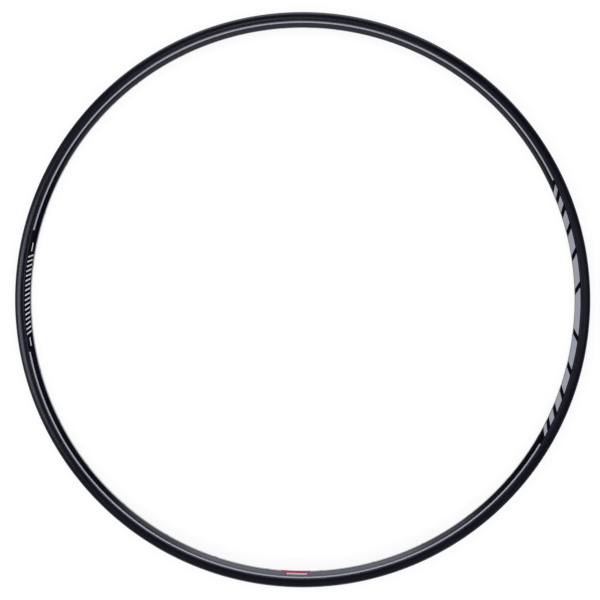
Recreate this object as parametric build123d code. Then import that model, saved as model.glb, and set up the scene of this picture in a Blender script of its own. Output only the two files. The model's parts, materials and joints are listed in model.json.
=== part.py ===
from build123d import *
from build123d.topology import SkipClean
import math
import os

# Bicycle rim: a hooked, double-wall alloy hoop, rolled from one extrusion, butted and held by a sleeve.
# The hoop lies flat. Its axis is Z, its mid plane is Z = 0 and the origin is its centre.
# Sections are drawn with the radius along X and the width along Y, one half first, then its mirror image.
# All sizes are in millimetres and degrees.

# Tyre side
BEAD_SEAT_DIAMETER = 622.0
INNER_WIDTH = 21.0  # between the tips of the two hooks
FLANGE_HEIGHT = 6.0  # from the bead seat to the tip of the flange
HOOK_THICKNESS = 2.3
POCKET_DEPTH = 0.8  # how far the bead pocket reaches behind the tip of the hook
POCKET_FILLET = 0.8
SEAT_WIDTH = 2.8
WELL_DEPTH = 3.2  # from the bead seat to the floor of the well
WELL_SLOPE = 45.0
WELL_FILLET = 1.0  # where the slope leaves the seat and where it meets the floor

# Outside
FLANK_LEAN = 8.0  # how far the flank faces outwards where it leaves the hook
FLANK_RADIUS = 28.0
SHOULDER_DEPTH = 3.3  # from the bead seat to the crease between flank and lower wall
SHOULDER_FILLET = 0.8
LOWER_WALL_BULGE = 0.25
BED_DEPTH = 11.0  # from the bead seat to the spoke bed
BED_LAND_WIDTH = 13.0  # between the creases of bed and lower walls, before their fillets
BED_FILLET = 1.5

# Walls
SIDE_WALL = 1.4
BRIDGE_WALL = 1.2
BED_WALL = 1.9

# Drilling
SPOKE_COUNT = 32
SPOKE_HOLE_DIAMETER = 4.5
ACCESS_HOLE_DIAMETER = 8.5
VALVE_HOLE_DIAMETER = 6.5
VALVE_ANGLE = 90.0

# Joint, opposite the valve
JOINT_GAP = 0.15
SLEEVE_CLEARANCE = 0.1
SLEEVE_END_MARGIN = 3.5  # from each end of the sleeve to the nearest access hole

# The hoop is revolved in arcs whose faces stay apart, because a face with too many holes measures wrong
ARC_COUNT = 8

# Radii of the section, worked out from the bead seat
seat_r = BEAD_SEAT_DIAMETER / 2
tip_r = seat_r + FLANGE_HEIGHT
floor_r = seat_r - WELL_DEPTH
shoulder_r = seat_r - SHOULDER_DEPTH
bed_r = seat_r - BED_DEPTH
chamber_r = (bed_r + BED_WALL + floor_r - BRIDGE_WALL) / 2

# Half widths of the section
hook_half = INNER_WIDTH / 2
pocket_half = hook_half + POCKET_DEPTH
seat_half = pocket_half - SEAT_WIDTH
floor_half = seat_half - WELL_DEPTH / math.tan(math.radians(WELL_SLOPE))
land_half = BED_LAND_WIDTH / 2

# The round bead of the hook, and the flank that leaves it on a tangent
bead_radius = HOOK_THICKNESS / 2
bead_centre = Vector(tip_r - bead_radius, hook_half + bead_radius)
lean = Vector(math.sin(math.radians(FLANK_LEAN)), math.cos(math.radians(FLANK_LEAN)))
flank_top = bead_centre + lean * bead_radius
flank_centre = bead_centre - lean * (FLANK_RADIUS - bead_radius)
widest_half = flank_centre.Y + FLANK_RADIUS
widest = Vector(flank_centre.X, widest_half)
shoulder = Vector(
    shoulder_r,
    flank_centre.Y + math.sqrt(FLANK_RADIUS**2 - (shoulder_r - flank_centre.X) ** 2),
)

# The lower wall: an arc from the shoulder to the edge of the spoke bed
land_edge = Vector(bed_r, land_half)
lower_chord = land_edge - shoulder
lower_middle = (shoulder + land_edge) / 2
lower_inward = Vector(-lower_chord.Y, lower_chord.X).normalized()
lower_radius = ((lower_chord.length / 2) ** 2 + LOWER_WALL_BULGE**2) / (2 * LOWER_WALL_BULGE)
lower_crown = lower_middle - lower_inward * LOWER_WALL_BULGE
lower_centre = lower_crown + lower_inward * lower_radius

# Pitch of the spokes and the joint
spoke_pitch = 360.0 / SPOKE_COUNT
joint_angle = VALVE_ANGLE + 180.0
sleeve_length = (
    math.radians(spoke_pitch) * chamber_r - ACCESS_HOLE_DIAMETER - 2 * SLEEVE_END_MARGIN
)


def both_halves(half):
    """The half section and its mirror image across the mid plane."""
    return half + mirror(half, about=Plane.XZ)


def corner(face, place):
    """The corner of a section nearest to a place."""
    return face.vertices().sort_by_distance(place)[0]


def outline_half():
    """Half of the extrusion's outline, from the mid plane to the flank, with its inside filled."""
    edges = Curve() + [
        Polyline(
            (bed_r, 0),
            (floor_r, 0),
            (floor_r, floor_half),
            (seat_r, seat_half),
            (seat_r, pocket_half),
            (bead_centre.X, pocket_half),
            flank_top,
        ),
        ThreePointArc(flank_top, widest, shoulder),
        ThreePointArc(shoulder, lower_crown, land_edge),
        Line(land_edge, (bed_r, 0)),
    ]
    half = make_face(edges) + Pos(bead_centre) * Circle(bead_radius)
    half = fillet(corner(half, shoulder), SHOULDER_FILLET)
    half = fillet(corner(half, land_edge), BED_FILLET)
    half = fillet(corner(half, Vector(seat_r, pocket_half)), POCKET_FILLET)
    half = fillet(corner(half, Vector(seat_r, seat_half)), WELL_FILLET)
    return fillet(corner(half, Vector(floor_r, floor_half)), WELL_FILLET)


def chamber_half(inset=0.0):
    """Half of the hollow between the walls, smaller by inset on every side."""
    bed_inside = bed_r + BED_WALL + inset
    below = BRIDGE_WALL + inset
    beside = below * math.tan(math.radians(WELL_SLOPE / 2))
    room = Polygon(
        (bed_inside, 0),
        (bed_inside, widest_half),
        (seat_r - below, widest_half),
        (seat_r - below, seat_half + beside),
        (floor_r - below, floor_half + beside),
        (floor_r - below, 0),
        align=None,
    )
    within_flank = Pos(flank_centre) * Circle(FLANK_RADIUS - SIDE_WALL - inset)
    within_lower_wall = Pos(lower_centre) * Circle(lower_radius - SIDE_WALL - inset)
    return room & within_flank & within_lower_wall


def ring_arc(section, middle_angle, arc):
    """A section revolved about the hoop's axis through an arc with its middle at middle_angle."""
    swept = revolve(Plane.XZ * section, Axis.Z, arc)
    return Rot(Z=middle_angle - arc / 2) * swept


def radial_drill(diameter, angle, inner_radius, outer_radius):
    """A drill lying along the radius at an angle, in the mid plane."""
    shaft = Cylinder(
        diameter / 2,
        outer_radius - inner_radius,
        align=(Align.CENTER, Align.CENTER, Align.MIN),
    )
    return Rot(Z=angle) * Pos(inner_radius, 0, 0) * Rot(Y=90) * shaft


def drills():
    """Every hole in the hoop: a nipple hole and an access hole for each spoke, and the valve hole."""
    below_bed = bed_r - BED_WALL
    holes = [radial_drill(VALVE_HOLE_DIAMETER, VALVE_ANGLE, below_bed, seat_r)]
    for number in range(SPOKE_COUNT):
        angle = VALVE_ANGLE + (number + 0.5) * spoke_pitch
        holes.append(radial_drill(SPOKE_HOLE_DIAMETER, angle, below_bed, chamber_r))
        holes.append(radial_drill(ACCESS_HOLE_DIAMETER, angle, chamber_r, seat_r))
    return holes


def rim_hoop():
    """The rolled extrusion, open by the joint's gap, with its holes drilled."""
    section = both_halves(outline_half()) - both_halves(chamber_half())
    gap_angle = math.degrees(JOINT_GAP / chamber_r)
    arc = (360.0 - gap_angle) / ARC_COUNT
    first_middle = joint_angle + (gap_angle + arc) / 2
    arcs = [ring_arc(section, first_middle + number * arc, arc) for number in range(ARC_COUNT)]
    with SkipClean():
        return arcs[0].fuse(*arcs[1:]).cut(*drills())


def joint_sleeve():
    """The insert that fills the chamber on both sides of the joint."""
    section = both_halves(chamber_half(SLEEVE_CLEARANCE))
    return ring_arc(section, joint_angle, math.degrees(sleeve_length / chamber_r))


os.makedirs("parts", exist_ok=True)
export_step(rim_hoop(), "parts/rim_hoop.step")
export_step(joint_sleeve(), "parts/joint_sleeve.step")
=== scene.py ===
import cmath
import json
import logging
import math
from collections.abc import Callable, Sequence
from dataclasses import dataclass, field
from enum import Enum, IntEnum
from itertools import accumulate

import bmesh
import bpy
from bpy.types import Material, Object, ShaderNodeTree
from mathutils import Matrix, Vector
from mathutils.geometry import tessellate_polygon


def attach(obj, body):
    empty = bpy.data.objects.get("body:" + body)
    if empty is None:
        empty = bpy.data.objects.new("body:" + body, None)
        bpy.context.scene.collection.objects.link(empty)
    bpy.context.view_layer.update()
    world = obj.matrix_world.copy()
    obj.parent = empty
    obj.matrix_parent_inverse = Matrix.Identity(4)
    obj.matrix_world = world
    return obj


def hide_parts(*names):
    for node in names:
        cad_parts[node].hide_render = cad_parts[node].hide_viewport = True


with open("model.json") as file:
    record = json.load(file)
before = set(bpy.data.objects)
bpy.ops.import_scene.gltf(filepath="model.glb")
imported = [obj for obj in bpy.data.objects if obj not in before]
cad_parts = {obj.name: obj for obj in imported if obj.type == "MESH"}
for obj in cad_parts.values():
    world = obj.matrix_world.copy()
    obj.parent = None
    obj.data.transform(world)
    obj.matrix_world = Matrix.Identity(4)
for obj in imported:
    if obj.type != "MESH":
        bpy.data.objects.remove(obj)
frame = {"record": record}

# A bare bicycle rim that lies flat, seen from above.
# Lengths are metres, and angles are degrees counted from +X.
# A point of the rim's section is a complex number: its radius from the axis plus its height times 1j.

LOG = logging.getLogger("bicycle_rim")
FULL_TURN = 360.0
MM_PER_METRE = 1000.0
FILM_SHARP_ANGLE = 40.0

Triple = tuple[float, float, float]
SurfacePoint = tuple[complex, complex]  # a point on a surface, and the way it faces
FilmEnd = Callable[[float], float]  # an angle, for a share of the way across a film


class Slot(Enum):
    """Names of the record's material slots meant for the new pieces."""

    HOOP = "hoop_black"
    GREY_INK = "print_grey"
    WHITE_INK = "print_white"
    RED_VINYL = "sticker_red"


class Side(Enum):
    """A side of the rim."""

    FRONT = "front"
    BACK = "back"


class IntoWall(Enum):
    """The way from a drilled surface into its wall, as a sign along the radius."""

    OUTWARD = 1.0
    INWARD = -1.0


class Lean(Enum):
    """How the ends of a block lean, as a sign for its first end and one for its last."""

    FORWARD = (1.0, 1.0)
    BACKWARD = (-1.0, -1.0)
    APART = (-1.0, 1.0)


class MixInput(IntEnum):
    """The Mix node's inputs by number, because several share a name."""

    FACTOR = 0
    VALUE_A = 2
    VALUE_B = 3
    COLOUR_A = 6
    COLOUR_B = 7


class MixOutput(IntEnum):
    """The Mix node's outputs by number."""

    VALUE = 0
    COLOUR = 2


def unit(vector: complex) -> complex:
    """The vector at length one."""
    return vector / abs(vector)


def arc(
    centre: complex, start: complex, end: complex, steps: int, long_way: bool = False
) -> list[complex]:
    """Points along a circle.

    Args:
        centre: The circle's centre.
        start: The first point.
        end: The last point, at the same distance from the centre.
        steps: How many steps the points make.
        long_way: Whether the points take the longer way round.

    Returns:
        The points, with both ends.
    """
    sweep = cmath.phase((end - centre) / (start - centre))
    if long_way:
        sweep -= math.copysign(math.tau, sweep)
    arm = start - centre
    return [centre + arm * cmath.rect(1.0, sweep * step / steps) for step in range(steps + 1)]


def rounded(before: complex, at: complex, after: complex, radius: float, steps: int) -> list[complex]:
    """Points along the fillet of a straight corner.

    Args:
        before: A point on the run into the corner.
        at: The corner.
        after: A point on the run out of the corner.
        radius: The fillet's radius.
        steps: How many steps the points make.

    Returns:
        The points, with both tangent ends.
    """
    into, out = unit(before - at), unit(after - at)
    half_angle = abs(cmath.phase(into / out)) / 2.0
    reach = radius / math.tan(half_angle)
    centre = at + unit(into + out) * radius / math.sin(half_angle)
    return arc(centre, at + into * reach, at + out * reach, steps)


def mirrored(half: Sequence[complex]) -> list[complex]:
    """Half a loop, and its mirror image below the mid plane."""
    return list(half) + [point.conjugate() for point in reversed(half)]


def polar(point: complex, angle: float) -> Vector:
    """The place of a section point at an angle round the rim."""
    turn = math.radians(angle)
    return Vector((point.real * math.cos(turn), point.real * math.sin(turn), point.imag))


def angle_of(mount: dict) -> float:
    """The angle round the rim at which one of the record's mounts lies."""
    return math.degrees(math.atan2(mount["pos_m"][1], mount["pos_m"][0]))


def slanted(angle: float, slant: float = 0.0) -> FilmEnd:
    """A film's end that lies at an angle halfway across, and leans forward by a slant."""
    return lambda share: angle + slant * (share - 0.5)


@dataclass(frozen=True)
class Circle:
    """A circle in the section."""

    centre: complex
    radius: float

    def at_radius(self, radius: float) -> complex:
        """The circle's upper point at a radius from the rim's axis."""
        rise = math.sqrt(self.radius**2 - (radius - self.centre.real) ** 2)
        return complex(radius, self.centre.imag + rise)

    def towards(self, place: complex) -> complex:
        """The circle's point in the direction of a place."""
        return self.centre + unit(place - self.centre) * self.radius

    def inset(self, depth: float) -> "Circle":
        """The circle with the same centre whose radius is smaller by a depth."""
        return Circle(self.centre, self.radius - depth)

    def meet(self, other: "Circle", near: complex) -> complex:
        """Where two circles cross.

        Args:
            other: The other circle.
            near: A place near the crossing that is wanted.

        Returns:
            The crossing nearest to that place.
        """
        apart = abs(other.centre - self.centre)
        along = (apart**2 + self.radius**2 - other.radius**2) / (2.0 * apart)
        across = math.sqrt(self.radius**2 - along**2)
        axis = unit(other.centre - self.centre)
        crossings = [self.centre + axis * complex(along, offset) for offset in (across, -across)]
        return min(crossings, key=lambda place: abs(place - near))


@dataclass(frozen=True)
class RimSection:
    """The extrusion's section: hooked flanges, bead seats, a centre well, a chamber and a spoke bed."""

    seat_radius: float
    inner_width: float
    flange_height: float = 0.0060
    hook_thickness: float = 0.0023
    hook_steps: int = 16
    pocket_depth: float = 0.0008
    pocket_fillet: float = 0.0008
    pocket_steps: int = 4
    seat_width: float = 0.0028
    well_depth: float = 0.0032
    well_slope: float = 45.0
    well_fillet: float = 0.0010
    well_steps: int = 3
    flank_lean: float = 8.0
    flank_radius: float = 0.0280
    flank_steps: int = 8
    shoulder_depth: float = 0.0033
    shoulder_fillet: float = 0.0008
    shoulder_steps: int = 4
    lower_wall_bulge: float = 0.00025
    lower_wall_steps: int = 6
    bed_depth: float = 0.0110
    land_width: float = 0.0130
    bed_fillet: float = 0.0015
    bed_fillet_steps: int = 5
    side_wall: float = 0.0014
    bridge_wall: float = 0.0012
    bed_wall: float = 0.0019
    chamber_flank_steps: int = 3

    @property
    def bed_radius(self) -> float:
        """Radius of the spoke bed's land."""
        return self.seat_radius - self.bed_depth

    @property
    def chamber_bed_radius(self) -> float:
        """Radius of the chamber's floor, behind the spoke bed."""
        return self.bed_radius + self.bed_wall

    @property
    def well_radius(self) -> float:
        """Radius of the well's floor."""
        return self.seat_radius - self.well_depth

    @property
    def chamber_roof_radius(self) -> float:
        """Radius of the chamber's roof, behind the well."""
        return self.well_radius - self.bridge_wall

    @property
    def pocket_half(self) -> float:
        """Half width between the bead pockets."""
        return self.inner_width / 2.0 + self.pocket_depth

    @property
    def seat_half(self) -> float:
        """Half width between the inner edges of the bead seats."""
        return self.pocket_half - self.seat_width

    @property
    def well_half(self) -> float:
        """Half width of the well's floor."""
        return self.seat_half - self.well_depth / math.tan(math.radians(self.well_slope))

    @property
    def bead_radius(self) -> float:
        """Radius of the round bead along the hook."""
        return self.hook_thickness / 2.0

    @property
    def bead_centre(self) -> complex:
        """Centre of the round bead along the hook."""
        tip = self.seat_radius + self.flange_height
        return complex(tip - self.bead_radius, self.inner_width / 2.0 + self.bead_radius)

    @property
    def lean(self) -> complex:
        """The way the flank faces where it leaves the hook."""
        return 1j * cmath.rect(1.0, -math.radians(self.flank_lean))

    @property
    def flank_top(self) -> complex:
        """Where the flank leaves the hook."""
        return self.bead_centre + self.lean * self.bead_radius

    @property
    def flank(self) -> Circle:
        """The flank's circle, which leaves the hook's bead on a tangent."""
        inward = self.lean * (self.flank_radius - self.bead_radius)
        return Circle(self.bead_centre - inward, self.flank_radius)

    @property
    def widest_half(self) -> float:
        """Half width of the whole section."""
        return self.flank.centre.imag + self.flank_radius

    @property
    def shoulder(self) -> complex:
        """The crease between flank and lower wall, before its fillet."""
        return self.flank.at_radius(self.seat_radius - self.shoulder_depth)

    @property
    def lower(self) -> Circle:
        """The lower wall's circle, through its creases with the flank and the spoke bed.

        Returns:
            The circle, whose centre lies behind the wall.
        """
        bulge = self.lower_wall_bulge
        land_edge = complex(self.bed_radius, self.land_width / 2.0)
        chord = land_edge - self.shoulder
        middle = (self.shoulder + land_edge) / 2.0
        radius = ((abs(chord) / 2.0) ** 2 + bulge**2) / (2.0 * bulge)
        return Circle(middle + 1j * unit(chord) * (radius - bulge), radius)

    @property
    def bed_fillet_centre(self) -> complex:
        """Centre of the fillet between lower wall and spoke bed."""
        return self.lower.inset(self.bed_fillet).at_radius(self.bed_radius + self.bed_fillet)

    @property
    def bed_edge(self) -> complex:
        """Where the spoke bed's fillet meets its land."""
        return complex(self.bed_radius, self.bed_fillet_centre.imag)

    @property
    def lower_end(self) -> complex:
        """Where the spoke bed's fillet meets the lower wall."""
        return self.lower.towards(self.bed_fillet_centre)

    def lower_wall(self, radius: float) -> SurfacePoint:
        """The lower wall's point at a radius, and the way the wall faces there."""
        point = self.lower.at_radius(radius)
        return point, unit(point - self.lower.centre)

    def outline_half(self) -> list[complex]:
        """Half of the outline.

        Returns:
            Points from the edge of the well's floor, over the hook and the flank, to the edge of the bed.
        """
        flank, lower = self.flank, self.lower
        well_middle = complex(self.well_radius, 0.0)
        well_corner = complex(self.well_radius, self.well_half)
        seat_edge = complex(self.seat_radius, self.seat_half)
        pocket = complex(self.seat_radius, self.pocket_half)
        overhang = self.bead_centre.imag - self.pocket_half
        hook_drop = math.sqrt(self.bead_radius**2 - overhang**2)
        hook_root = complex(self.bead_centre.real - hook_drop, self.pocket_half)
        fillet = flank.inset(self.shoulder_fillet).meet(lower.inset(self.shoulder_fillet), self.shoulder)
        fillet_start, fillet_end = flank.towards(fillet), lower.towards(fillet)
        points = rounded(well_middle, well_corner, seat_edge, self.well_fillet, self.well_steps)
        points += rounded(well_corner, seat_edge, pocket, self.well_fillet, self.well_steps)
        points += rounded(seat_edge, pocket, hook_root, self.pocket_fillet, self.pocket_steps)
        points += arc(self.bead_centre, hook_root, self.flank_top, self.hook_steps, long_way=True)
        points += arc(flank.centre, self.flank_top, fillet_start, self.flank_steps)[1:]
        points += arc(fillet, fillet_start, fillet_end, self.shoulder_steps)[1:]
        points += arc(lower.centre, fillet_end, self.lower_end, self.lower_wall_steps)[1:]
        points += arc(self.bed_fillet_centre, self.lower_end, self.bed_edge, self.bed_fillet_steps)[1:]
        return points

    def chamber_half(self) -> list[complex]:
        """Half of the chamber.

        Returns:
            Points from the edge of the chamber's floor, along the walls, to the edge of its roof.
        """
        flank, lower = self.flank.inset(self.side_wall), self.lower.inset(self.side_wall)
        under_seat = self.seat_radius - self.bridge_wall
        beside = self.bridge_wall * math.tan(math.radians(self.well_slope / 2.0))
        floor_edge = lower.at_radius(self.chamber_bed_radius)
        knee = lower.meet(flank, self.shoulder)
        points = arc(lower.centre, floor_edge, knee, self.lower_wall_steps)
        points += arc(flank.centre, knee, flank.at_radius(under_seat), self.chamber_flank_steps)[1:]
        points.append(complex(under_seat, self.seat_half + beside))
        points.append(complex(self.chamber_roof_radius, self.well_half + beside))
        return points


@dataclass
class MeshSketch:
    """Points and faces that are gathered before they become a mesh."""

    points: list[Vector] = field(default_factory=list)
    faces: list[tuple[int, ...]] = field(default_factory=list)

    def add(self, places: Sequence[Vector]) -> list[int]:
        """Add points and return their numbers."""
        self.points.extend(places)
        return list(range(len(self.points) - len(places), len(self.points)))

    def bridge(self, first: Sequence[int], second: Sequence[int], closed: bool = False) -> None:
        """Join two rows of points with quads.

        Args:
            first: The points of the first row.
            second: As many points of the second row.
            closed: Whether the rows are rings.
        """
        count = len(first)
        for place in range(count if closed else count - 1):
            beyond = (place + 1) % count
            self.faces.append((first[place], first[beyond], second[beyond], second[place]))

    def lace(self, outer: Sequence[tuple[float, int]], inner: Sequence[tuple[float, int]]) -> None:
        """Fill the gap between a hole's edge and the outline round it with triangles.

        Args:
            outer: The outline's points, each as its turn round the hole and its number, sorted.
            inner: The hole's points in the same form.
        """
        done_outer = done_inner = 0
        while done_outer < len(outer) or done_inner < len(inner):
            here_outer = outer[done_outer % len(outer)][1]
            here_inner = inner[done_inner % len(inner)][1]
            turn_outer, next_outer = self.following(outer, done_outer)
            turn_inner, next_inner = self.following(inner, done_inner)
            if done_inner >= len(inner) or (done_outer < len(outer) and turn_outer <= turn_inner):
                self.faces.append((here_outer, next_outer, here_inner))
                done_outer += 1
            else:
                self.faces.append((here_outer, next_inner, here_inner))
                done_inner += 1

    @staticmethod
    def following(loop: Sequence[tuple[float, int]], place: int) -> tuple[float, int]:
        """The next point of a loop, with a whole turn added past its end."""
        turn, number = loop[(place + 1) % len(loop)]
        return turn + math.tau * ((place + 1) // len(loop)), number

    def shape(self, name: str, sharp_angle: float) -> Object:
        """Make the object.

        Args:
            name: The object's name.
            sharp_angle: Edges that bend more than this stay sharp.

        Returns:
            The object, with its faces turned outwards and smooth.
        """
        mesh = bpy.data.meshes.new(name)
        mesh.from_pydata(self.points, [], self.faces)
        solid = bmesh.new()
        solid.from_mesh(mesh)
        bmesh.ops.recalc_face_normals(solid, faces=solid.faces)
        solid.to_mesh(mesh)
        solid.free()
        mesh.shade_smooth()
        mesh.set_sharp_from_angle(angle=math.radians(sharp_angle))
        shaped = bpy.data.objects.new(name, mesh)
        bpy.context.scene.collection.objects.link(shaped)
        return shaped


@dataclass(frozen=True)
class SurfaceGrain:
    """The node group in every finish: drawn lines round the rim, fine grain and slow mottling."""

    name: str = "rim_surface_grain"
    inputs: tuple[str, ...] = ("Line Scale", "Grain Scale", "Mottle Scale", "Line Share")
    outputs: tuple[str, ...] = ("Height", "Mottle")
    line_detail: float = 3.0
    grain_detail: float = 2.0
    mottle_detail: float = 4.0

    def group(self) -> ShaderNodeTree:
        """Build the group once.

        Returns:
            The group, with inputs for its scales and outputs Height and Mottle.
        """
        found = bpy.data.node_groups.get(self.name)
        if found:
            return found
        tree = bpy.data.node_groups.new(self.name, "ShaderNodeTree")
        for way, labels in (("INPUT", self.inputs), ("OUTPUT", self.outputs)):
            for label in labels:
                tree.interface.new_socket(label, in_out=way, socket_type="NodeSocketFloat")
        nodes, link = tree.nodes, tree.links.new
        given, made = nodes.new("NodeGroupInput"), nodes.new("NodeGroupOutput")
        place, split = nodes.new("ShaderNodeTexCoord"), nodes.new("ShaderNodeSeparateXYZ")
        flat, across = nodes.new("ShaderNodeCombineXYZ"), nodes.new("ShaderNodeCombineXYZ")
        radius = nodes.new("ShaderNodeVectorMath")
        radius.operation = "LENGTH"
        lines, grain, mottle = (nodes.new("ShaderNodeTexNoise") for _ in range(3))
        lines.inputs["Detail"].default_value = self.line_detail
        grain.inputs["Detail"].default_value = self.grain_detail
        mottle.inputs["Detail"].default_value = self.mottle_detail
        blend = nodes.new("ShaderNodeMix")
        link(place.outputs["Object"], split.inputs[0])
        link(split.outputs["X"], flat.inputs["X"])
        link(split.outputs["Y"], flat.inputs["Y"])
        link(flat.outputs[0], radius.inputs[0])
        link(radius.outputs["Value"], across.inputs["X"])
        link(split.outputs["Z"], across.inputs["Y"])
        link(across.outputs[0], lines.inputs["Vector"])
        link(place.outputs["Object"], grain.inputs["Vector"])
        link(place.outputs["Object"], mottle.inputs["Vector"])
        link(given.outputs["Line Scale"], lines.inputs["Scale"])
        link(given.outputs["Grain Scale"], grain.inputs["Scale"])
        link(given.outputs["Mottle Scale"], mottle.inputs["Scale"])
        link(given.outputs["Line Share"], blend.inputs[MixInput.FACTOR])
        link(grain.outputs[0], blend.inputs[MixInput.VALUE_A])
        link(lines.outputs[0], blend.inputs[MixInput.VALUE_B])
        link(blend.outputs[MixOutput.VALUE], made.inputs["Height"])
        link(mottle.outputs[0], made.inputs["Mottle"])
        return tree


@dataclass(frozen=True)
class Finish:
    """A finish: two tones that mottle slowly, a band of roughness and a fine relief."""

    name: str
    dark: Triple
    light: Triple
    roughness: tuple[float, float]
    line_share: float
    metallic: float = 0.0
    specular: float = 0.5
    tint: Triple = (1.0, 1.0, 1.0)
    line_scale: float = 900.0
    grain_scale: float = 1800.0
    mottle_scale: float = 14.0
    mottle_range: tuple[float, float] = (0.3, 0.7)
    relief: float = 0.00002
    relief_strength: float = 0.3

    def material(self) -> Material:
        """Build the material once.

        Returns:
            The material, with the shared grain group in it.
        """
        found = bpy.data.materials.get(self.name)
        if found:
            return found
        material = bpy.data.materials.new(self.name)
        material.use_nodes = True
        nodes, link = material.node_tree.nodes, material.node_tree.links.new
        shader = nodes["Principled BSDF"]
        grain = nodes.new("ShaderNodeGroup")
        grain.node_tree = SurfaceGrain().group()
        grain.inputs["Line Scale"].default_value = self.line_scale
        grain.inputs["Grain Scale"].default_value = self.grain_scale
        grain.inputs["Mottle Scale"].default_value = self.mottle_scale
        grain.inputs["Line Share"].default_value = self.line_share
        tone = nodes.new("ShaderNodeMix")
        tone.data_type = "RGBA"
        tone.inputs[MixInput.COLOUR_A].default_value = (*self.dark, 1.0)
        tone.inputs[MixInput.COLOUR_B].default_value = (*self.light, 1.0)
        gloss = nodes.new("ShaderNodeMapRange")
        gloss.inputs["From Min"].default_value, gloss.inputs["From Max"].default_value = self.mottle_range
        gloss.inputs["To Min"].default_value, gloss.inputs["To Max"].default_value = self.roughness
        bump = nodes.new("ShaderNodeBump")
        bump.inputs["Strength"].default_value = self.relief_strength
        bump.inputs["Distance"].default_value = self.relief
        link(grain.outputs["Mottle"], tone.inputs[MixInput.FACTOR])
        link(grain.outputs["Mottle"], gloss.inputs["Value"])
        link(grain.outputs["Height"], bump.inputs["Height"])
        link(tone.outputs[MixOutput.COLOUR], shader.inputs["Base Color"])
        link(gloss.outputs["Result"], shader.inputs["Roughness"])
        link(bump.outputs["Normal"], shader.inputs["Normal"])
        shader.inputs["Metallic"].default_value = self.metallic
        shader.inputs["Specular IOR Level"].default_value = self.specular
        shader.inputs["Specular Tint"].default_value = (*self.tint, 1.0)
        return material


BLACK_SATIN = Finish(
    "satin_black_coat",
    dark=(0.0012, 0.0014, 0.0052),
    light=(0.0020, 0.0022, 0.0070),
    roughness=(0.16, 0.21),
    line_share=0.35,
    specular=0.8,
    tint=(0.82, 0.83, 1.0),
)
RAW_ALLOY = Finish(
    "sawn_alloy",
    dark=(0.52, 0.53, 0.55),
    light=(0.68, 0.69, 0.71),
    roughness=(0.30, 0.48),
    line_share=0.8,
    metallic=1.0,
    relief_strength=0.5,
)
GREY_INK = Finish(
    "light_grey_ink",
    dark=(0.34, 0.355, 0.42),
    light=(0.395, 0.41, 0.475),
    roughness=(0.42, 0.55),
    line_share=0.1,
    specular=0.12,
    relief_strength=0.2,
)
WHITE_INK = Finish(
    "white_ink",
    dark=(0.54, 0.545, 0.595),
    light=(0.64, 0.645, 0.69),
    roughness=(0.42, 0.55),
    line_share=0.1,
    specular=0.2,
    relief_strength=0.2,
)
RED_VINYL = Finish(
    "red_vinyl",
    dark=(0.44, 0.030, 0.10),
    light=(0.56, 0.050, 0.15),
    roughness=(0.55, 0.65),
    line_share=0.0,
    specular=0.06,
    relief_strength=0.15,
)


def dressed(piece: Object, finish: Finish) -> Object:
    """Give a new piece its finish and set it on the rim's body.

    Args:
        piece: The new piece.
        finish: The finish that it shows.

    Returns:
        The same piece.
    """
    piece.data.materials.clear()
    piece.data.materials.append(finish.material())
    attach(piece, "root")
    return piece


@dataclass(frozen=True)
class Hole:
    """A hole drilled along a radius: its angle, and its radius in the spoke bed and in the well."""

    angle: float
    bed_radius: float
    well_radius: float

    @property
    def outward(self) -> Vector:
        """The way along the hole, out from the rim's axis."""
        return polar(complex(1.0, 0.0), self.angle)

    @property
    def along(self) -> Vector:
        """The way round the rim at the hole."""
        turn = math.radians(self.angle)
        return Vector((-math.sin(turn), math.cos(turn), 0.0))


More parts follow.
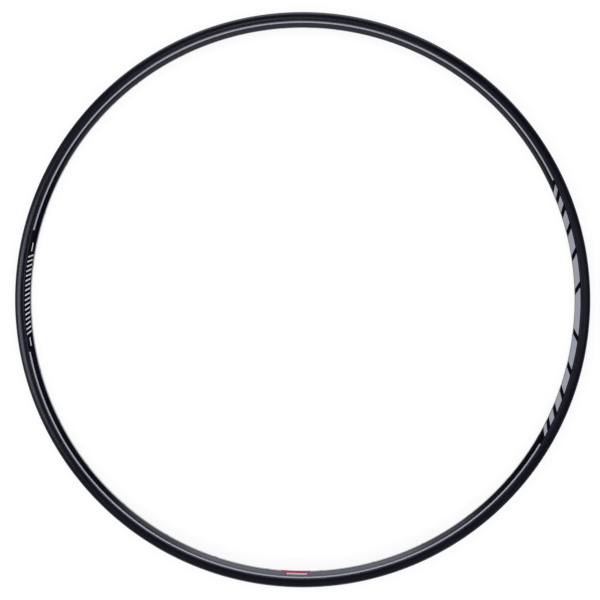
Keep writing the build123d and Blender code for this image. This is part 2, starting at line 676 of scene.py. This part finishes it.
@dataclass
class RimHoop:
    """The rolled hoop with its holes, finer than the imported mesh."""

    section: RimSection
    mounts: Sequence[dict]
    valve: str = "valve_hole"
    access_radius: float = 0.00425
    joint_gap: float = 0.00004
    edge_break: float = 0.00025
    patch_half: float = 0.0056
    patch_steps: int = 6
    widest_step: float = 0.85
    step_slack: float = 1e-6
    hole_steps: int = 24
    sharp_angle: float = 28.0
    sketch: MeshSketch = field(default_factory=MeshSketch)

    @property
    def joint_angle(self) -> float:
        """The angle of the joint, opposite the valve."""
        valve = next(mount for mount in self.mounts if mount["name"] == self.valve)
        return angle_of(valve) + FULL_TURN / 2.0

    def build(self) -> Object:
        """Build the hoop as one closed mesh.

        Returns:
            The hoop, which stands for its CAD node.
        """
        section = self.section
        columns, patches = self.columns()
        outline, chamber = mirrored(section.outline_half()), mirrored(section.chamber_half())
        outside, inside = self.rows(outline, columns), self.rows(chamber, columns)
        land, well = len(outline) // 2 - 1, len(outline) - 1
        roof, floor = len(chamber) // 2 - 1, len(chamber) - 1
        self.skin(outside, (land, well), patches)
        self.skin(inside, (roof, floor), patches)
        for hole, first in patches:
            in_bed, in_well = hole.bed_radius, hole.well_radius
            bed_edge, bed_wall = self.edge(hole, in_bed, section.bed_radius, IntoWall.OUTWARD)
            well_edge, well_wall = self.edge(hole, in_well, section.well_radius, IntoWall.INWARD)
            floor_edge = self.ring(hole, in_bed, section.chamber_bed_radius)
            roof_edge = self.ring(hole, in_well, section.chamber_roof_radius)
            self.sketch.bridge(bed_wall, floor_edge, closed=True)
            self.sketch.bridge(well_wall, roof_edge, closed=True)
            for surface, strip, edge in (
                (outside, land, bed_edge),
                (outside, well, well_edge),
                (inside, roof, roof_edge),
                (inside, floor, floor_edge),
            ):
                self.patch(hole, first, surface[strip], surface[(strip + 1) % len(surface)], edge)
        self.cap(outside, inside, 0)
        self.cap(outside, inside, len(columns) - 1)
        hoop = self.sketch.shape("hoop_fine", self.sharp_angle)
        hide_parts("rim_hoop")
        return hoop

    def hole(self, bore: dict) -> Hole:
        """The hole of one of the record's bores. A spoke's hole is wider in the well than in the bed."""
        radius = bore["dims"]["r_mm"] / MM_PER_METRE
        return Hole(angle_of(bore), radius, radius if bore["name"] == self.valve else self.access_radius)

    def columns(self) -> tuple[list[float], list[tuple[Hole, int]]]:
        """Lay out the columns of the mesh round the rim.

        Returns:
            The columns' angles from end to end of the hoop, and each hole with its first column.
        """
        gap = math.degrees(self.joint_gap / self.section.chamber_roof_radius)
        patch = math.degrees(self.patch_half / self.section.bed_radius)
        start = self.joint_angle + gap / 2.0
        end = self.joint_angle + FULL_TURN - gap / 2.0
        angles, patches = [start], []
        holes = [self.hole(mount) for mount in self.mounts if mount["kind"] == "bore"]
        turned = [(start + (hole.angle - start) % FULL_TURN, hole) for hole in holes]
        for angle, hole in sorted(turned, key=lambda pair: pair[0]):
            self.fill(angles, angle - patch, self.widest_step)
            patches.append((hole, len(angles) - 1))
            self.fill(angles, angle + patch, 2.0 * patch / self.patch_steps)
        self.fill(angles, end, self.widest_step)
        return angles, patches

    def fill(self, angles: list[float], end: float, widest: float) -> None:
        """Carry the columns on to an angle in even steps.

        Args:
            angles: The columns so far, which grow.
            end: The angle that they reach.
            widest: The widest step.
        """
        begin = angles[-1]
        steps = math.ceil((end - begin) / widest - self.step_slack)
        angles.extend(begin + (end - begin) * (step + 1) / steps for step in range(steps))

    def rows(self, loop: Sequence[complex], columns: Sequence[float]) -> list[list[int]]:
        """Add a row of points round the rim for each point of a loop."""
        return [self.sketch.add([polar(point, angle) for angle in columns]) for point in loop]

    def skin(
        self, surface: list[list[int]], drilled: Sequence[int], patches: list[tuple[Hole, int]]
    ) -> None:
        """Join the rows of a loop, with the patches of drilled strips left open.

        Args:
            surface: The loop's rows.
            drilled: The strips that have holes, each by its first row.
            patches: The holes and their first columns.
        """
        for strip, row in enumerate(surface):
            beyond = surface[(strip + 1) % len(surface)]
            if strip not in drilled:
                self.sketch.bridge(row, beyond)
                continue
            begin = 0
            for _, first in patches:
                self.sketch.bridge(row[begin : first + 1], beyond[begin : first + 1])
                begin = first + self.patch_steps
            self.sketch.bridge(row[begin:], beyond[begin:])

    def ring(self, hole: Hole, hole_radius: float, radius: float) -> list[int]:
        """Add the ring of points where a hole meets a surface round the rim's axis.

        Args:
            hole: The hole.
            hole_radius: The hole's radius there.
            radius: The surface's radius.

        Returns:
            The points' numbers, in order round the hole.
        """
        outward, along = hole.outward, hole.along
        places = []
        for step in range(self.hole_steps):
            offset = cmath.rect(hole_radius, math.tau * step / self.hole_steps - math.pi)
            depth = math.sqrt(radius**2 - offset.real**2)
            places.append(outward * depth + along * offset.real + Vector((0.0, 0.0, offset.imag)))
        return self.sketch.add(places)

    def edge(
        self, hole: Hole, hole_radius: float, radius: float, into: IntoWall
    ) -> tuple[list[int], list[int]]:
        """Add the broken edge of a hole on an outer surface.

        Args:
            hole: The hole.
            hole_radius: The hole's radius.
            radius: The surface's radius.
            into: The way into the wall.

        Returns:
            The ring on the surface, and the ring in the hole's wall.
        """
        wide = self.ring(hole, hole_radius + self.edge_break, radius)
        narrow = self.ring(hole, hole_radius, radius + into.value * self.edge_break)
        self.sketch.bridge(wide, narrow, closed=True)
        return wide, narrow

    def patch(self, hole: Hole, first: int, row: list[int], beyond: list[int], edge: list[int]) -> None:
        """Fill a strip between a hole's edge and the columns round it.

        Args:
            hole: The hole.
            first: The patch's first column.
            row: The strip's first row of points.
            beyond: The strip's second row of points.
            edge: The hole's edge.
        """
        span = slice(first, first + self.patch_steps + 1)
        along = hole.along
        around = []
        for number in row[span] + beyond[span]:
            place = self.sketch.points[number]
            around.append((math.atan2(place.z, place.dot(along)), number))
        inner = [(math.tau * step / len(edge) - math.pi, number) for step, number in enumerate(edge)]
        self.sketch.lace(sorted(around), inner)

    def cap(self, outside: list[list[int]], inside: list[list[int]], column: int) -> None:
        """Close an end of the hoop at the joint with the section's own face.

        Args:
            outside: The outline's rows.
            inside: The chamber's rows.
            column: The column at that end.
        """
        loops = [[row[column] for row in rows] for rows in (outside, inside)]
        numbers = loops[0] + loops[1]
        places = [[self.sketch.points[number] for number in loop] for loop in loops]
        for triangle in tessellate_polygon(places):
            self.sketch.faces.append(tuple(numbers[corner] for corner in triangle))

    def dress(self) -> list[Object]:
        """Build the hoop and give it its finish."""
        return [dressed(self.build(), BLACK_SATIN)]


@dataclass
class JointSleeve:
    """The insert in the chamber at the joint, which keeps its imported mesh."""

    node: str = "joint_sleeve"

    def dress(self) -> list[Object]:
        """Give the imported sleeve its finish.

        Returns:
            The sleeve.
        """
        sleeve = bpy.data.objects[self.node]
        sleeve.data.materials.clear()
        sleeve.data.materials.append(RAW_ALLOY.material())
        return [sleeve]


@dataclass(frozen=True)
class Film:
    """A thin film that follows the lower wall: a field between two ends that may slant."""

    section: RimSection
    inner_radius: float
    outer_radius: float
    side: Side = Side.FRONT
    proud: float = 0.00006
    sunk: float = 0.00005
    widest_step: float = 0.6
    fewest_columns: int = 2
    rows: int = 6

    def path(self) -> list[SurfacePoint]:
        """The film's line across the wall.

        Returns:
            Points from the inner to the outer radius, each with the way the wall faces there.
        """
        reach = self.outer_radius - self.inner_radius
        radii = [self.inner_radius + reach * row / self.rows for row in range(self.rows + 1)]
        return [self.section.lower_wall(radius) for radius in radii]

    @staticmethod
    def distances(path: Sequence[SurfacePoint]) -> list[float]:
        """How far along its line each point of a path lies."""
        steps = [abs(point - before) for (before, _), (point, _) in zip(path, path[1:])]
        return list(accumulate(steps, initial=0.0))

    def lay(self, sketch: MeshSketch, start: FilmEnd, end: FilmEnd) -> None:
        """Add the film to a sketch as one closed slab.

        Args:
            sketch: The sketch that takes the film.
            start: The film's first end.
            end: The film's last end.
        """
        path = self.path()
        distances = self.distances(path)
        length = max(end(share) - start(share) for share in (0.0, 1.0))
        columns = max(self.fewest_columns, math.ceil(length / self.widest_step))
        tops, bottoms = [], []
        for (point, facing), distance in zip(path, distances):
            share = distance / distances[-1]
            first, last = start(share), end(share)
            angles = [first + (last - first) * step / columns for step in range(columns + 1)]
            upper, under = point + facing * self.proud, point - facing * self.sunk
            if self.side is Side.BACK:
                upper, under = upper.conjugate(), under.conjugate()
            tops.append(sketch.add([polar(upper, angle) for angle in angles]))
            bottoms.append(sketch.add([polar(under, angle) for angle in angles]))
        for row in range(len(path) - 1):
            sketch.bridge(tops[row], tops[row + 1])
            sketch.bridge(bottoms[row + 1], bottoms[row])
        sketch.bridge(bottoms[0], tops[0])
        sketch.bridge(tops[-1], bottoms[-1])
        for side in (0, -1):
            sketch.bridge([row[side] for row in tops], [row[side] for row in bottoms])


@dataclass(frozen=True)
class WrappedFilm(Film):
    """A film that starts on the spoke bed's land and wraps over its fillet on to the lower wall."""

    start_height: float = -0.0055

    def path(self) -> list[SurfacePoint]:
        """The film's line over the bed's fillet.

        Returns:
            Points from the land to the outer radius, each with the way the surface faces there.
        """
        section, rows = self.section, self.rows
        start, edge = complex(section.bed_radius, self.start_height), section.bed_edge
        centre, wall = section.bed_fillet_centre, section.lower_end
        inward = complex(-1.0, 0.0)
        on_land = [(start + (edge - start) * row / rows, inward) for row in range(rows)]
        on_fillet = [(point, unit(point - centre)) for point in arc(centre, edge, wall, rows)]
        reach = self.outer_radius - wall.real
        on_wall = [section.lower_wall(wall.real + reach * (row + 1) / rows) for row in range(rows)]
        return on_land + on_fillet + on_wall


@dataclass
class PrintedLine:
    """The light line printed on the lower wall, just inside the shoulder."""

    section: RimSection
    inner_radius: float = 0.30525
    outer_radius: float = 0.30675
    rows: int = 3
    arcs: tuple[tuple[Side, float, float], ...] = (
        (Side.FRONT, 27.4, 167.2),
        (Side.FRONT, 192.6, 330.7),
        (Side.BACK, 272.0, 628.0),
    )

    def build(self) -> Object:
        """Build the line, with gaps for the graphics on the front and for the joint on the back.

        Returns:
            One piece with every arc of the line as a thin film.
        """
        sketch = MeshSketch()
        for side, first, last in self.arcs:
            film = Film(self.section, self.inner_radius, self.outer_radius, side, rows=self.rows)
            film.lay(sketch, slanted(first), slanted(last))
        return sketch.shape("printed_line", FILM_SHARP_ANGLE)

    def dress(self) -> list[Object]:
        """Build the line and give it its ink."""
        return [dressed(self.build(), GREY_INK)]


@dataclass
class BlockField:
    """The field of slanted grey blocks, longest in its middle and shorter towards both ends."""

    section: RimSection
    middle_angle: float = -0.55
    inner_radius: float = 0.3005
    outer_radius: float = 0.3061
    middle_length: float = 8.4
    shrink: float = 0.685
    gap: float = 1.3
    slant: float = 1.6
    blocks_each_way: int = 5

    def build(self) -> Object:
        """Build the blocks.

        Returns:
            One piece with every block as a thin film.
        """
        sketch = MeshSketch()
        begin = self.middle_angle - self.middle_length / 2.0
        self.block(sketch, begin, self.middle_length, Lean.APART)
        for lean in (Lean.FORWARD, Lean.BACKWARD):
            length, edge = self.middle_length, self.middle_length / 2.0 + self.gap
            for _ in range(self.blocks_each_way):
                length *= self.shrink
                begin = self.middle_angle + (edge if lean is Lean.FORWARD else -edge - length)
                self.block(sketch, begin, length, lean)
                edge += length + self.gap
        return sketch.shape("graphic_blocks", FILM_SHARP_ANGLE)

    def block(self, sketch: MeshSketch, begin: float, length: float, lean: Lean) -> None:
        """Lay one block.

        Args:
            sketch: The sketch that takes the block.
            begin: The block's first angle, halfway across.
            length: The block's length as an angle.
            lean: How its ends lean.
        """
        film = Film(self.section, self.inner_radius, self.outer_radius)
        first, last = (sign * self.slant for sign in lean.value)
        film.lay(sketch, slanted(begin, first), slanted(begin + length, last))

    def dress(self) -> list[Object]:
        """Build the blocks and give them their ink."""
        return [dressed(self.build(), GREY_INK)]


@dataclass
class HatchField:
    """The field of thin white ticks, with a dash before and after it."""

    section: RimSection
    middle_angle: float = 180.6
    inner_radius: float = 0.3010
    outer_radius: float = 0.3060
    ticks: int = 17
    tick_rows: int = 4
    pitch: float = 1.0
    tick_width: float = 0.33
    slant: float = 0.6
    dash_length: float = 1.8
    dash_rows: int = 2
    dash_inner: float = 0.3031
    dash_outer: float = 0.3040

    def build(self) -> Object:
        """Build the ticks and the dashes.

        Returns:
            One piece with every tick and dash as a thin film.
        """
        sketch = MeshSketch()
        tick = Film(self.section, self.inner_radius, self.outer_radius, rows=self.tick_rows)
        dash = Film(self.section, self.dash_inner, self.dash_outer, rows=self.dash_rows)
        half = (self.ticks - 1) * self.pitch / 2.0
        for number in range(self.ticks):
            begin = self.middle_angle - half + number * self.pitch - self.tick_width / 2.0
            tick.lay(sketch, slanted(begin, self.slant), slanted(begin + self.tick_width, self.slant))
        before = self.middle_angle - half - self.pitch - self.dash_length
        after = self.middle_angle + half + self.pitch
        for begin in (before, after):
            dash.lay(sketch, slanted(begin), slanted(begin + self.dash_length))
        return sketch.shape("graphic_ticks", FILM_SHARP_ANGLE)

    def dress(self) -> list[Object]:
        """Build the ticks and give them their ink."""
        return [dressed(self.build(), WHITE_INK)]


@dataclass
class Sticker:
    """The small sticker at the joint: a red field over the spoke bed's edge and a pale bar beside it."""

    section: RimSection
    start_angle: float = 267.3
    end_angle: float = 273.5
    outer_radius: float = 0.3013
    corner: float = 0.0016
    field_rows: int = 16
    bar_start: float = 268.6
    bar_end: float = 272.8
    bar_inner: float = 0.3017
    bar_outer: float = 0.3030
    bar_rows: int = 3

    def rounding(self, distance: float, across: float) -> float:
        """How far a round corner draws the red field in.

        Args:
            distance: How far across the field, from its edge on the spoke bed.
            across: The field's whole width.

        Returns:
            The inset, as an angle round the rim.
        """
        into = max(0.0, self.corner - min(distance, across - distance))
        inset = self.corner - math.sqrt(self.corner**2 - into**2)
        return math.degrees(inset / self.section.bed_radius)

    def build(self) -> tuple[Object, Object]:
        """Build both fields as thin films.

        Returns:
            The pale bar and the red field.
        """
        pale, red = MeshSketch(), MeshSketch()
        bar = Film(self.section, self.bar_inner, self.bar_outer, rows=self.bar_rows)
        bar.lay(pale, slanted(self.bar_start), slanted(self.bar_end))
        wrap = WrappedFilm(self.section, self.section.bed_radius, self.outer_radius, rows=self.field_rows)
        across = wrap.distances(wrap.path())[-1]
        wrap.lay(
            red,
            lambda share: self.start_angle + self.rounding(share * across, across),
            lambda share: self.end_angle - self.rounding(share * across, across),
        )
        return pale.shape("sticker_bar", FILM_SHARP_ANGLE), red.shape("sticker_field", FILM_SHARP_ANGLE)

    def dress(self) -> list[Object]:
        """Build both fields and give them their finishes."""
        bar, red = self.build()
        return [dressed(bar, WHITE_INK), dressed(red, RED_VINYL)]


@dataclass(frozen=True)
class Softbox:
    """An area lamp: its place, what it faces, its size and its power in watts."""

    name: str
    place: Triple
    aim: Triple
    size: tuple[float, float]
    power: float

    def hang(self) -> None:
        """Add the lamp to the scene."""
        lamp = bpy.data.lights.new(self.name, "AREA")
        lamp.shape = "RECTANGLE"
        lamp.size, lamp.size_y = self.size
        lamp.energy = self.power
        hung = bpy.data.objects.new(self.name, lamp)
        hung.location = self.place
        hung.rotation_euler = (Vector(self.aim) - Vector(self.place)).to_track_quat("-Z", "Y").to_euler()
        hung.visible_camera = False
        bpy.context.scene.collection.objects.link(hung)


@dataclass
class Studio:
    """The pale floor, the soft light and the camera over the rim."""

    rim_half: float
    floor_drop: float = 0.00005
    floor_half: float = 40.0
    floor_colour: Triple = (0.25, 0.25, 0.25)
    floor_roughness: float = 0.9
    floor_lift: float = 0.82
    sky_low: float = 0.012
    sky_band: float = 1.32
    sky_stops: tuple[tuple[float, bool], ...] = (
        (0.50, False),
        (0.57, True),
        (0.80, True),
        (0.94, False),
    )
    camera_place: Triple = (0.140, 0.130, 5.0)
    camera_aim: Triple = (-0.0027, -0.0002, 0.0)
    camera_up: float = 91.8
    sensor_width: float = 36.0
    focal_length: float = 271.95
    lamps: tuple[Softbox, ...] = (
        Softbox("lamp_over_left", (-0.53, -0.08, 1.5), (-0.53, -0.08, 0.0), (0.26, 0.34), 0.8),
        Softbox("lamp_over_right", (0.28, -0.02, 1.5), (0.28, -0.02, 0.0), (0.5, 0.2), 0.1),
        Softbox("lamp_over_middle", (-0.09, 0.19, 1.5), (-0.09, 0.19, 0.0), (0.10, 0.20), 0.10),
        Softbox("lamp_over_top", (0.0, 1.0, 1.5), (0.0, 1.0, 0.0), (1.6, 0.6), 5.4),
        Softbox("lamp_low_top", (-0.12, 1.7, 0.46), (-0.12, 0.0, 0.46), (2.9, 0.66), 6.5),
        Softbox("lamp_low_middle", (-0.14, 1.68, 0.46), (-0.14, 0.0, 0.46), (1.6, 0.66), 4.3),
        Softbox("lamp_over_front", (0.0, -1.5, 1.3), (0.0, 0.2, 0.0), (2.0, 0.6), 10.5),
        Softbox("lamp_low_front", (0.0, -1.9, 0.44), (0.0, 0.0, 0.44), (7.2, 0.82), 9.6),
        Softbox("lamp_over_near", (0.04, -0.54, 1.5), (0.04, -0.54, 0.0), (1.0, 0.46), 0.16),
    )

    def floor_material(self) -> Material:
        """Make the floor's material.

        Returns:
            A pale matt material that shows white to the camera and in gloss, and keeps the rim's shadow.
        """
        material = bpy.data.materials.new("pale_floor")
        material.use_nodes = True
        nodes, link = material.node_tree.nodes, material.node_tree.links.new
        shader = nodes["Principled BSDF"]
        shader.inputs["Base Color"].default_value = (*self.floor_colour, 1.0)
        shader.inputs["Roughness"].default_value = self.floor_roughness
        shader.inputs["Specular IOR Level"].default_value = 0.0
        path, lift = nodes.new("ShaderNodeLightPath"), nodes.new("ShaderNodeEmission")
        add = nodes.new("ShaderNodeAddShader")
        seen, through, level = (nodes.new("ShaderNodeMath") for _ in range(3))
        seen.operation = through.operation = "MAXIMUM"
        level.operation = "MULTIPLY"
        level.inputs[1].default_value = self.floor_lift
        link(path.outputs["Is Camera Ray"], seen.inputs[0])
        link(path.outputs["Is Glossy Ray"], seen.inputs[1])
        link(seen.outputs[0], through.inputs[0])
        link(path.outputs["Is Transmission Ray"], through.inputs[1])
        link(through.outputs[0], level.inputs[0])
        link(level.outputs[0], lift.inputs["Strength"])
        link(shader.outputs[0], add.inputs[0])
        link(lift.outputs[0], add.inputs[1])
        link(add.outputs[0], nodes["Material Output"].inputs["Surface"])
        return material

    def floor(self) -> None:
        """Lay the floor just under the rim."""
        mesh = bpy.data.meshes.new("floor")
        reach, height = self.floor_half, -self.rim_half - self.floor_drop
        corners = [(-reach, -reach), (reach, -reach), (reach, reach), (-reach, reach)]
        mesh.from_pydata([(x, y, height) for x, y in corners], [], [(0, 1, 2, 3)])
        mesh.materials.append(self.floor_material())
        laid = bpy.data.objects.new("floor", mesh)
        bpy.context.scene.collection.objects.link(laid)

    def light(self) -> None:
        """Set the sky, which is bright in a band under the zenith, and hang the lamps."""
        world = bpy.data.worlds.new("soft_sky")
        world.use_nodes = True
        nodes, link = world.node_tree.nodes, world.node_tree.links.new
        place, split = nodes.new("ShaderNodeTexCoord"), nodes.new("ShaderNodeSeparateXYZ")
        ramp = nodes.new("ShaderNodeValToRGB")
        stops = ramp.color_ramp.elements
        while len(stops) < len(self.sky_stops):
            stops.new(1.0)
        for stop, (height, bright) in zip(stops, self.sky_stops):
            level = self.sky_band if bright else self.sky_low
            stop.position = height
            stop.color = (level, level, level, 1.0)
        link(place.outputs["Generated"], split.inputs[0])
        link(split.outputs["Z"], ramp.inputs[0])
        link(ramp.outputs["Color"], nodes["Background"].inputs["Color"])
        bpy.context.scene.world = world
        for lamp in self.lamps:
            lamp.hang()

    def camera(self) -> None:
        """Set the camera over the rim, rolled and aimed as the picture was taken."""
        lens = bpy.data.cameras.new("camera")
        lens.sensor_width = self.sensor_width
        lens.lens = self.focal_length
        camera = bpy.data.objects.new("camera", lens)
        backward = (Vector(self.camera_place) - Vector(self.camera_aim)).normalized()
        turn = math.radians(self.camera_up)
        right = Vector((math.cos(turn), math.sin(turn), 0.0)).cross(backward).normalized()
        up = backward.cross(right)
        pose = camera.matrix_world.to_3x3()
        pose.col[0], pose.col[1], pose.col[2] = right, up, backward
        camera.matrix_world = pose.to_4x4()
        camera.location = self.camera_place
        bpy.context.scene.collection.objects.link(camera)
        bpy.context.scene.camera = camera

    def build(self) -> None:
        """Lay the floor, set the light and place the camera."""
        bpy.context.scene.view_settings.view_transform = "Standard"
        self.floor()
        self.light()
        self.camera()


def main() -> None:
    """Build the rim's pieces in order and report each, then the studio."""
    logging.basicConfig(level=logging.INFO, format="%(name)s: %(message)s")
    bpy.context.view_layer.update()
    mounts = frame["record"]["mounts"]
    seat = next(mount["dims"] for mount in mounts if mount["name"] == "tyre_bead_seat")
    section = RimSection(seat["r_mm"] / MM_PER_METRE, seat["length_mm"] / MM_PER_METRE)
    for assembly in (
        RimHoop(section, mounts),
        JointSleeve(),
        PrintedLine(section),
        BlockField(section),
        HatchField(section),
        Sticker(section),
    ):
        for piece in assembly.dress():
            faces = len(piece.data.polygons)
            LOG.info("%s: %d faces, %s", piece.name, faces, piece.active_material.name)
    Studio(section.widest_half).build()


if __name__ == "__main__":
    main()
